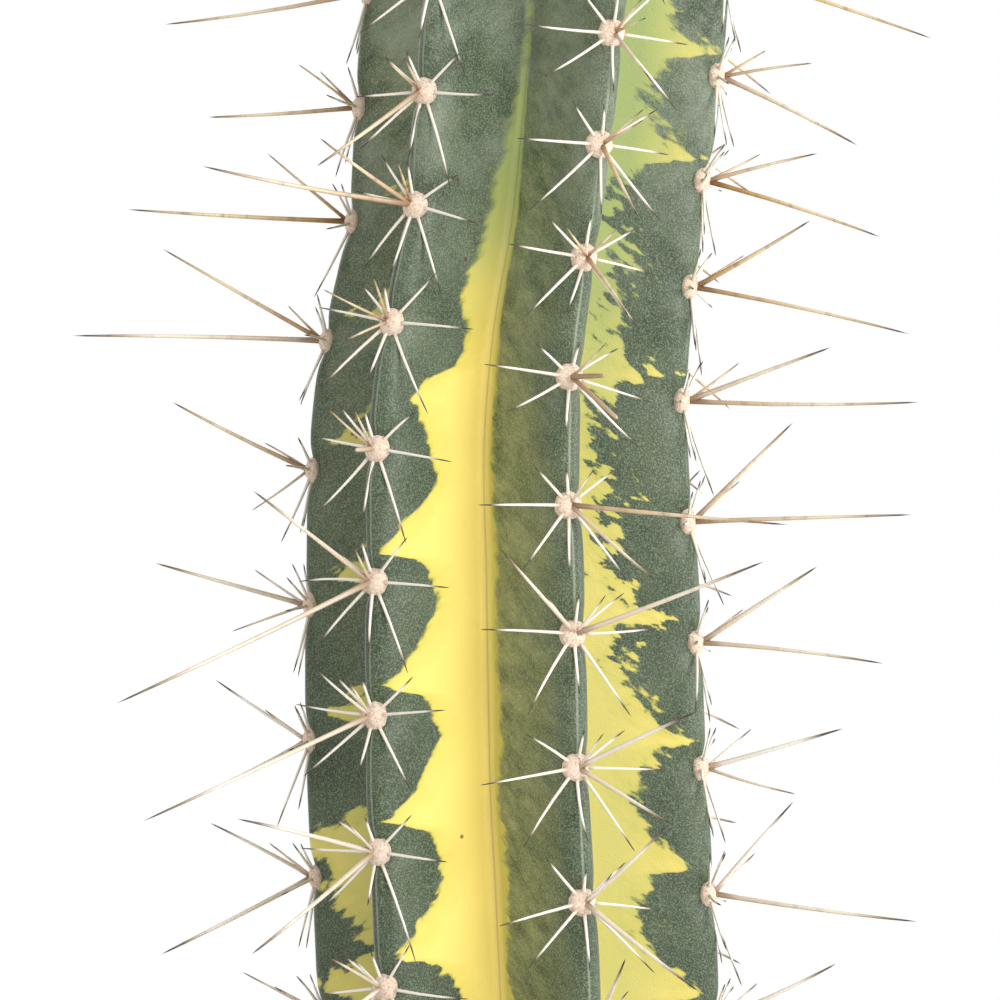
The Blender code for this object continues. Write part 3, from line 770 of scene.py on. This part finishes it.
def spine_cones(name, root, direction, length, radius, taper, bend, shade, replaced=()):
    """One piece of many spines. Ring centres follow root + direction x length x t + bend x length
    x t squared, and the radius shrinks as (1 - t) to the power taper, with a swollen base. A
    snapped spine has a taper of almost nothing, and lacks the dark tip."""
    radius, taper = np.broadcast_to(radius, length.shape), np.broadcast_to(taper, length.shape)
    t = SPINE_RINGS[None, :, None]
    reach = length[:, None, None]
    centre = root[:, None] + direction[:, None] * reach * t + bend[:, None] * reach * t**2
    thin = radius[:, None] * (1 - SPINE_RINGS) ** taper[:, None] * (1 + 0.2 * np.exp(-SPINE_RINGS / 0.05))
    first = unit(np.cross(direction, direction[:, [1, 2, 0]] + [0.31, 0.17, 0.43]))
    second = np.cross(direction, first)
    turn = turns(SPINE_SIDES)
    spokes = (first[:, None] * np.cos(turn)[:, None] + second[:, None] * np.sin(turn)[:, None])
    rings = centre[:, :, None] + thin[:, :, None, None] * spokes[:, None]
    tips = root + direction * length[:, None] + bend * length[:, None]
    points, faces = closed_rings(rings, root, tips)
    share = np.concatenate([[0], np.repeat(SPINE_RINGS, SPINE_SIDES), [1]])
    along = share * np.where(taper > BLUNT, 1.0, 0.15)[:, None]
    new_piece(name, points, faces, spine_finish, "spine", replaced, along=along,
              tan=np.broadcast_to(shade[:, None], along.shape),
              band_mm=along * length[:, None] / MM,
              own_number=np.broadcast_to(np.arange(len(root))[:, None] * 9.7, along.shape))


for rib, (numbers, heights) in enumerate(AREOLES):
    clock, lift, length = rib_spines(rib)
    foot, up, out, sideways = (part[:, None] for part in crest_frames(rib, heights))
    direction = spine_ways(up, out, sideways, clock, lift)
    centrals = np.arange(clock.shape[1]) < len(CENTRAL_SPINES)
    rise = np.where(centrals, CENTRAL_RISE, RADIAL_RISE)
    tip = foot + out * rise[:, None] + direction * length[..., None]
    start = np.where(centrals, CENTRAL_START, RADIAL_START)
    root = tip - direction * (length - start)[..., None]
    lost = length == 0
    chance = np.random.RandomState(300 + rib)
    bends = chance.normal(0, BEND, direction.shape)
    old = np.interp(heights, (0.180, 0.300), (0.62, 0.05))[:, None]
    shade = np.clip(chance.normal(0.85, 0.15, clock.shape) - old, 0, 1) * np.where(centrals, 1, 0.06)
    radius = np.where(centrals, CENTRAL_RADIUS * np.clip(length / 0.035, 0.6, 1.0), RADIAL_RADIUS)
    taper = np.full(clock.shape, TAPER)
    for broken_rib, number, spine in BROKEN:
        if broken_rib == rib:
            taper[number - numbers[0], spine] = BLUNT
            radius[number - numbers[0], spine] = CENTRAL_RADIUS
    for kind, mine in (("centrals", centrals), ("radials", ~centrals)):
        kept = mine & ~lost
        spine_cones(f"rib_{rib + 1}_{kind}", root[kept], direction[kept], (length - start)[kept],
                    radius[kept], taper[kept], bends[kept], shade[kept], (f"rib_{rib + 1}_spines",))

# %% [markdown]
# ## Felt cushions
# The areole itself is a cushion of short dense wool, cream with a touch of pink, about 6 mm
# across. Hair could be grown on it, but the hairs are thinner than the view can show, so it is a
# low dome with an uneven surface and a grain of fibres in its finish.

# %% Wool finish
wool, tree = new_finish(
    "short_cream_wool", Roughness=0.95, Sheen_Weight=0.35, Sheen_Roughness=0.5, Specular_IOR_Level=0.2)
place = object_place(tree)
tufts = noise(tree, place, 0.5 * MM, 3.0, 0.7)
tuft_colour = ramp(tree, tufts, (0.30, "b2937b"), (0.43, "dcc2ab"), (0.58, "ecd7c4"), (0.75, "f6e9db"))
show(tree, tuft_colour, bump(tree, tufts, 0.8, 0.35 * MM))

# %% Low domes
DOME_COLUMNS = 18
DOME_RINGS = 7
FELT_DEPTH = 0.0014
# Half width, half length, rise and sink of a felt pad, and how uneven it is.
FELT_SHAPE = (0.0034, 0.0035, 0.0027, 0.0018, 0.055)


def domes(centre, first, second, out, half_first, half_second, rise, sink, uneven, seed):
    """Many domes at once: an ellipsoid in the directions first, second and out, as high as rise
    outwards and as deep as sink inwards, with a seeded unevenness."""
    steep = np.linspace(0, math.pi, DOME_RINGS + 2)[1:-1][::-1]
    turn = turns(DOME_COLUMNS)
    steep, turn = np.meshgrid(steep, turn, indexing="ij")
    chance = np.random.RandomState(seed)
    swell = 1 + uneven * chance.uniform(-1, 1, (len(centre), *steep.shape))
    along_first = half_first * np.sin(steep) * np.cos(turn) * swell
    along_second = half_second * np.sin(steep) * np.sin(turn) * swell
    depth = np.where(np.cos(steep) > 0, rise, sink) * np.cos(steep) * swell
    rings = (centre[:, None, None] + first[:, None, None] * along_first[..., None]
             + second[:, None, None] * along_second[..., None] + out[:, None, None] * depth[..., None])
    return closed_rings(rings, centre - out * sink, centre + out * rise)


for rib, (_, heights) in enumerate(AREOLES):
    foot, up, out, sideways = crest_frames(rib, heights)
    points, faces = domes(foot - out * FELT_DEPTH, sideways, up, out, *FELT_SHAPE, 500 + rib)
    new_piece(f"rib_{rib + 1}_felt", points, faces, wool, "wool", (f"rib_{rib + 1}_spines",))

# %% [markdown]
# ## The growing tip
# The youngest areoles crowd together on the tip under a cap of wool, and their spines stand up
# through it. They are darker and redder than the old ones, because they have not bleached yet.

# %% Crown
CROWN_SHAPE = (0.0085, 0.0085, 0.0050, 0.003, 0.07)
CROWN_SPINES = 46
CROWN_SPINE_RADIUS = 0.0004
GOLDEN_ANGLE = math.radians(137.5)
tip = stem_centre(np.array([STEM_HEIGHT]))
x_way, y_way, z_way = np.eye(3)[:, None]
points, faces = domes(tip, x_way, y_way, z_way, *CROWN_SHAPE, 601)
new_piece("crown_wool", points, faces, wool, "wool", ("crown",))

chance = np.random.RandomState(602)
turn = np.arange(CROWN_SPINES) * GOLDEN_ANGLE
spot = np.sqrt((np.arange(CROWN_SPINES) + 0.5) / CROWN_SPINES)
round_about = np.stack([np.cos(turn), np.sin(turn), 0 * turn], axis=-1)
root = tip + round_about * (CROWN_SHAPE[0] * 0.95 * spot)[:, None] + [0, 0, 0.001]
splayed = round_about * (0.15 + 0.85 * spot)[:, None] + [0, 0, 1.0]
direction = unit(splayed + chance.normal(0, 0.12, root.shape))
length = chance.uniform(0.007, 0.013, CROWN_SPINES)
spine_cones("crown_spines", root, direction, length, CROWN_SPINE_RADIUS, TAPER,
            chance.normal(0, 0.05, root.shape), chance.uniform(0.5, 1.0, CROWN_SPINES), ("crown",))

# %% [markdown]
# Between the crown and the last full-sized areole each rib carries a few young ones. They are
# small and close together, with short spines that are still opening out.

# %% Young areoles
YOUNG_STEPS = np.array([0.0170, 0.0280, 0.0360, 0.0420])
YOUNG_HIGHEST = 0.5565
YOUNG_CLOCKS = (-150, -92, -38, 38, 92, 150, 178, 0)
YOUNG_LIFTS = (22, 22, 25, 25, 22, 22, 70, 55)
YOUNG_LENGTHS = (7, 7, 6, 6, 7, 7, 13, 10)
YOUNG_RADIUS = 0.00034
YOUNG_START = 0.0008
YOUNG_DEPTH = 0.0006
YOUNG_SHAPE = (0.0022, 0.0022, 0.0018, 0.0014, 0.055)

frames = []
for rib in range(RIBS):
    heights = AREOLES[rib][1][-1] + YOUNG_STEPS
    frames.append(crest_frames(rib, heights[heights < YOUNG_HIGHEST]))
foot, up, out, sideways = (np.concatenate(parts) for parts in zip(*frames))
points, faces = domes(foot - out * YOUNG_DEPTH, sideways, up, out, *YOUNG_SHAPE, 603)
new_piece("young_felt", points, faces, wool, "wool")

chance = np.random.RandomState(604)
clock = np.radians(YOUNG_CLOCKS + chance.normal(0, 8, (len(foot), len(YOUNG_CLOCKS))))
lift = np.radians(YOUNG_LIFTS + chance.normal(0, 5, clock.shape))
length = YOUNG_LENGTHS * chance.uniform(0.8, 1.15, clock.shape) * MM
direction = spine_ways(up[:, None], out[:, None], sideways[:, None], clock, lift)
root = foot[:, None] + direction * YOUNG_START
spine_cones("young_spines", root.reshape(-1, 3), direction.reshape(-1, 3), length.ravel(),
            YOUNG_RADIUS, TAPER, chance.normal(0, 0.03, (length.size, 3)),
            chance.uniform(0.4, 0.9, length.size))

# %% [markdown]
# ## The clay pot
# A plain machine-pressed flower pot: a tapered body, a thick collar, a drain hole. It is one
# closed outline turned about the upright axis, with each corner rounded by an arc.

# %% The pot's outline
POT_HEIGHT = 0.205
POT_RIM_RADIUS = 0.122
POT_COLLAR_HEIGHT = 0.038
POT_COLLAR_STEP = 0.008
POT_FOOT_RADIUS = 0.082
POT_WALL = 0.009
POT_FLOOR = 0.013
DRAIN_RADIUS = 0.011
POT_COLUMNS = 240


def inner_radius(height):
    """The pot's inner wall leans out from its floor to the top of its rim."""
    low, high = POT_FOOT_RADIUS - POT_WALL, POT_RIM_RADIUS - POT_WALL
    return low + (high - low) * (height - POT_FLOOR) / (POT_HEIGHT - POT_FLOOR)


def rounded_outline(corners, steps=6):
    """A closed outline of (x, z, radius) corners, each cut by a smooth arc: a quadratic curve from
    one tangent point over the corner to the other."""
    corners = np.array(corners)
    place, radius = corners[:, :2], corners[:, 2:]
    before = unit(np.roll(place, 1, axis=0) - place) * radius
    after = unit(np.roll(place, -1, axis=0) - place) * radius
    t = np.linspace(0, 1, steps)[None, :, None]
    start, end, middle = (place + before)[:, None], (place + after)[:, None], place[:, None]
    arcs = start * (1 - t) ** 2 + 2 * middle * t * (1 - t) + end * t**2
    return arcs.reshape(-1, 2)


collar_foot = POT_HEIGHT - POT_COLLAR_HEIGHT
corners = [
    (DRAIN_RADIUS, 0.0, 0.0010),
    (POT_FOOT_RADIUS, 0.0, 0.0030),
    (POT_RIM_RADIUS - POT_COLLAR_STEP, collar_foot - 0.002, 0.0010),
    (POT_RIM_RADIUS - 0.0030, collar_foot, 0.0022),
    (POT_RIM_RADIUS, POT_HEIGHT, 0.0030),
    (inner_radius(POT_HEIGHT), POT_HEIGHT, 0.0030),
    (inner_radius(POT_FLOOR), POT_FLOOR, 0.0040),
    (DRAIN_RADIUS, POT_FLOOR, 0.0010),
]
outline = rounded_outline(corners)
turn = turns(POT_COLUMNS)
pot_grid = np.stack([outline[:, None, 0] * np.cos(turn), outline[:, None, 0] * np.sin(turn),
                     outline[:, None, 1] + 0 * turn], axis=-1)
print("pot outline of", len(outline), "points")

# %% [markdown]
# Terracotta is fired clay without a glaze: porous, matte and warm orange, paler where lime has
# dried out of the water, with faint level lines from the pressing tool and small pits.

# %% Terracotta finish
clay, tree = new_finish("unglazed_terracotta", Roughness=0.88, Specular_IOR_Level=0.25)
place = object_place(tree)
firing = noise(tree, place, 60 * MM, 6.0, 0.6)
fired = ramp(tree, firing, (0.30, "93492f"), (0.50, "a65a3c"), (0.70, "b56d4b"))
lime = noise(tree, stretched(tree, place, (1.0, 1.0, 2.2)), 45 * MM, 8.0, 0.72)
limed = mix(tree, remap(tree, lime, 0.54, 0.74, 0.0, 0.5), fired, "cdb09a")
specks = noise(tree, place, 1.3 * MM, 2.0)
specked = mix(tree, remap(tree, specks, 0.62, 0.72, 0.0, 0.35), limed, "8a4630")
lines = noise(tree, stretched(tree, place, (0.02, 0.02, 1.0)), 1.6 * MM, 3.0)
show(tree, specked, bump(tree, specks, 0.35, 0.3 * MM, Normal=bump(tree, lines, 0.35, 0.5 * MM)))

ring, column = np.meshgrid(np.arange(len(outline)), np.arange(POT_COLUMNS), indexing="ij")
above, beside = (ring + 1) % len(outline), (column + 1) % POT_COLUMNS
pot_faces = np.stack([ring * POT_COLUMNS + column, ring * POT_COLUMNS + beside,
                      above * POT_COLUMNS + beside, above * POT_COLUMNS + column], axis=-1)
new_piece("clay_pot", pot_grid.reshape(-1, 3), pot_faces.reshape(-1, 4).tolist(), clay, "clay", ("pot",))

# %% [markdown]
# ## The soil
# Cactus compost: dark peat with bark, grit and white perlite. The body is one closed surface that
# starts under the stem's foot, follows the stem up to the light, runs out over the lumpy top to
# the pot's wall and back underneath. Loose grains lie on it.

# %% Compost finish
compost, tree = new_finish("dark_peat_compost", Roughness=0.96, Specular_IOR_Level=0.2)
place = object_place(tree)
crumbs = noise(tree, place, 2.2 * MM, 6.0, 0.75)
crumb_colour = ramp(tree, crumbs, (0.35, "1f1610"), (0.50, "3b2a1e"), (0.62, "55402f"), (0.78, "7b6450"))
show(tree, crumb_colour, bump(tree, crumbs, 1.0, 1.5 * MM))

# %% The soil's body
SOIL_MOUND = 0.004
SOIL_ROWS = 44
SOIL_CLEARANCE = 3 * GAP


def soil_top(distance, points):
    """The height of the soil: a low mound round the stem, with lumps of 12 mm and crumbs of 4 mm."""
    mound = SOIL_MOUND * np.interp(distance, (0.045, 0.075, 0.108), (1.0, 0.4, -0.4))
    return SOIL_LEVEL + mound + 0.0012 * ripples(points, 0.022, 7) + 0.0007 * ripples(points, 0.006, 8)


rib_of_column = np.repeat(np.arange(RIBS), 2 * FLANK_STEPS)
across_of_column = np.tile(across_one_rib, RIBS)
buried = np.linspace(STEM_FOOT, 0.003, 9)[:, None] + np.zeros(shape[1])
socket = stem_outline(buried, rib_of_column[None], across_of_column[None])
socket += 2 * GAP * outward_normals(socket)
inner = socket[-1, :, :2]
bearing = unit(inner)
t = np.linspace(0, 1, SOIL_ROWS)[:, None, None] ** 1.15
outer = bearing * (inner_radius(SOIL_LEVEL) - SOIL_CLEARANCE)
flat = inner[None] * (1 - t) + outer[None] * t
flat_points = np.concatenate([flat, np.zeros((*flat.shape[:2], 1))], axis=-1)
top = np.concatenate([flat, soil_top(np.linalg.norm(flat, axis=-1), flat_points)[..., None]], axis=-1)
socket[-1, :, 2] = top[0, :, 2] - 0.0005
down = np.linspace(SOIL_LEVEL - 0.006, POT_FLOOR + 0.004, 8)
wall = np.concatenate([bearing[None] * (inner_radius(down) - SOIL_CLEARANCE)[:, None, None],
                       np.broadcast_to(down[:, None, None], (8, shape[1], 1))], axis=-1)
floor_ring = np.concatenate([bearing * 0.068, np.full((shape[1], 1), POT_FLOOR + GAP)], axis=-1)[None]
soil_grid = np.concatenate([socket, top, wall, floor_ring])
points, faces = closed_rings(soil_grid[None], np.array([[0, 0, socket[0, 0, 2] - GAP]]),
                             np.array([[0, 0, POT_FLOOR + GAP]]))
new_piece("potting_soil", points, [face[::-1] for face in faces], compost, "soil", ("soil",))

# %% [markdown]
# The loose grains are rounded lumps of three kinds. Each kind is one piece of a few hundred
# six-sided lumps, stretched and turned by seeded amounts, half sunk into the soil.


# %% Grains
def grains_on_soil(name, count, sizes, squash, colours, seed):
    """Scatter lumps over the soil: a golden-angle spiral keeps them even, and seeded shifts, sizes
    and turns make them irregular. Each lump is four rings of six points, uneven by a quarter."""
    chance = np.random.RandomState(seed)
    spot = np.sqrt(np.linspace(0.205, 0.96, count) + chance.uniform(-0.03, 0.03, count))
    turn = np.arange(count) * GOLDEN_ANGLE + chance.uniform(0, 0.5, count)
    distance = spot * (inner_radius(SOIL_LEVEL) - 0.002)
    x, y = distance * np.cos(turn), distance * np.sin(turn)
    level = soil_top(distance, np.stack([x, y, 0 * x], axis=-1))
    half = chance.uniform(*sizes, count) / 2
    steep = np.linspace(0, math.pi, 6)[1:-1][::-1][:, None]
    round_about = turns(6)[None]
    lump = np.stack([np.sin(steep) * np.cos(round_about), np.sin(steep) * np.sin(round_about),
                     np.cos(steep) + 0 * round_about], axis=-1)
    rings = lump[None] * (1 + chance.uniform(-0.25, 0.25, (count, 4, 6, 1)))
    stretch = half[:, None] * np.stack([chance.uniform(0.8, 1.4, count), chance.uniform(0.6, 1.0, count),
                                        squash * chance.uniform(0.7, 1.1, count)], axis=-1)
    spin = chance.uniform(0, 2 * math.pi, count)
    tilt = chance.uniform(-0.4, 0.4, count)
    c, s, one = np.cos(spin), np.sin(spin), np.ones(count)
    axes = np.stack([c, s, tilt, -s, c, 0 * c, -tilt * c, -tilt * s, one], axis=-1)
    turned = unit(axes.reshape(count, 3, 3))
    centre = np.stack([x, y, level + 0.25 * stretch[:, 2]], axis=-1)
    rings = centre[:, None, None] + np.einsum("nrcj,njk->nrck", rings * stretch[:, None, None], turned)
    pole = turned[:, 2] * stretch[:, 2:]
    points, faces = closed_rings(rings, centre - pole, centre + pole)
    finish, tree = new_finish(f"{name}_finish", Roughness=0.9)
    pores = noise(tree, object_place(tree), 1.5 * MM, 5.0, 0.7)
    show(tree, ramp(tree, pores, *zip((0.32, 0.50, 0.68), colours)), bump(tree, pores, 0.7, 0.5 * MM))
    new_piece(name, points, faces, finish, "soil")


grains_on_soil("bark_chips", 260, (0.004, 0.009), 0.45, ("2b1b12", "4d3322", "6e4d35"), 701)
grains_on_soil("pumice_grit", 420, (0.002, 0.005), 0.85, ("6f665c", "948a7d", "b5aa9b"), 702)
grains_on_soil("perlite", 230, (0.0018, 0.0042), 0.95, ("c9c5bd", "e4e1da", "f3f1ec"), 703)

# %% [markdown]
# ## The floor
# A pale round floor, wide enough for every view. It isn't part of the plant.

# %% Floor
FLOOR_RADIUS = 2.4
FLOOR_POINTS = 128
floor_finish, tree = new_finish("matte_white_paper", Roughness=0.9)
place = object_place(tree)
show(tree, ramp(tree, noise(tree, place, 1 / 3.0, 3.0), (0.35, "f1f1f0"), (0.65, "f5f5f4")))
turn = turns(FLOOR_POINTS)
disc = np.stack([FLOOR_RADIUS * np.cos(turn), FLOOR_RADIUS * np.sin(turn), 0 * turn], axis=-1)
floor_mesh = bpy.data.meshes.new("floor")
floor_mesh.from_pydata(disc.tolist(), [], [list(range(FLOOR_POINTS))])
floor_mesh.materials.append(floor_finish)
placed("floor", floor_mesh)
